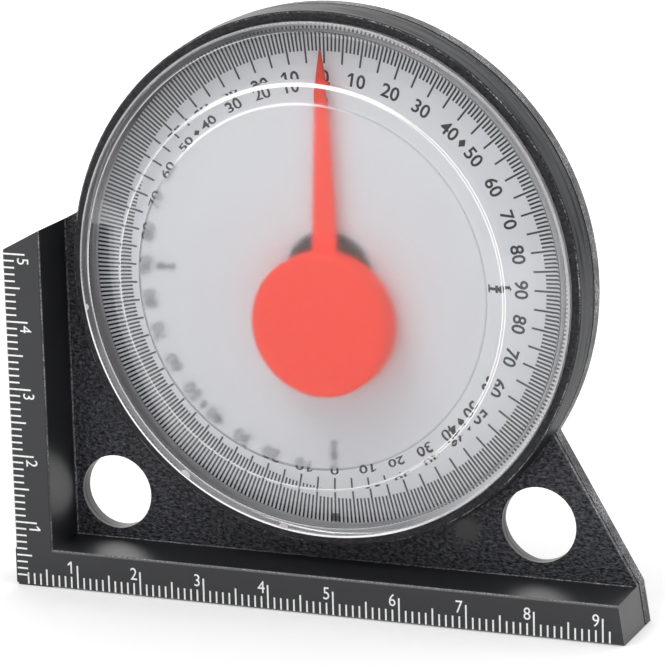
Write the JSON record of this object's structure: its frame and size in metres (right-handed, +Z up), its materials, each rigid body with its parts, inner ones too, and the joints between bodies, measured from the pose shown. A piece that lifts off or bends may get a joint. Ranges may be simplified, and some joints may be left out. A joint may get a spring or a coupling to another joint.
{
  "type": "dial angle finder",
  "caption": "Dial angle finder: weighted pointer hanging plumb over a round degree dial under a clear cover, in an L-shaped plastic case with ruler edges and a magnetic foot.",
  "frame": {"origin": "middle of the foot, on the surface that the base stands on", "axes": "+Z up, +X along the base to the right as seen from the dial side, +Y from the dial side to the back"},
  "size_m": [0.093, 0.0124, 0.0858],
  "materials": {
    "abs_black": "moulded, grained web and rim, smooth ruler faces",
    "clear_cover": "clear, frosted on the inside of the raised middle",
    "dial_card": "white with black printed scale",
    "pointer_orange": "satin",
    "steel": "plain",
    "brass": "turned",
    "ferrite": "ground",
    "screw_steel": "zinc plated"
  },
  "bodies": {
    "case": {"front_case": "abs_black", "back_cover": "abs_black", "lens": "clear_cover", "dial": "dial_card", "front_bush": "brass", "rear_bush": "brass", "magnet_left": "ferrite", "magnet_right": "ferrite", "keeper_left": "steel", "keeper_right": "steel", "cover_screw_1": "screw_steel", "cover_screw_2": "screw_steel", "cover_screw_3": "screw_steel", "cover_screw_4": "screw_steel"},
    "pointer": {"pointer": "pointer_orange", "bob_weight": "steel", "axle": "steel", "axle_collar": "steel", "front_washer": "brass", "rear_washer": "brass"}
  },
  "joints": [
    {"name": "pointer_swing", "type": "hinge", "parent": "case", "child": "pointer", "pos_m": [0.0008, 0, 0.0472], "axis": [0, -1, 0], "continuous": true}
  ]
}
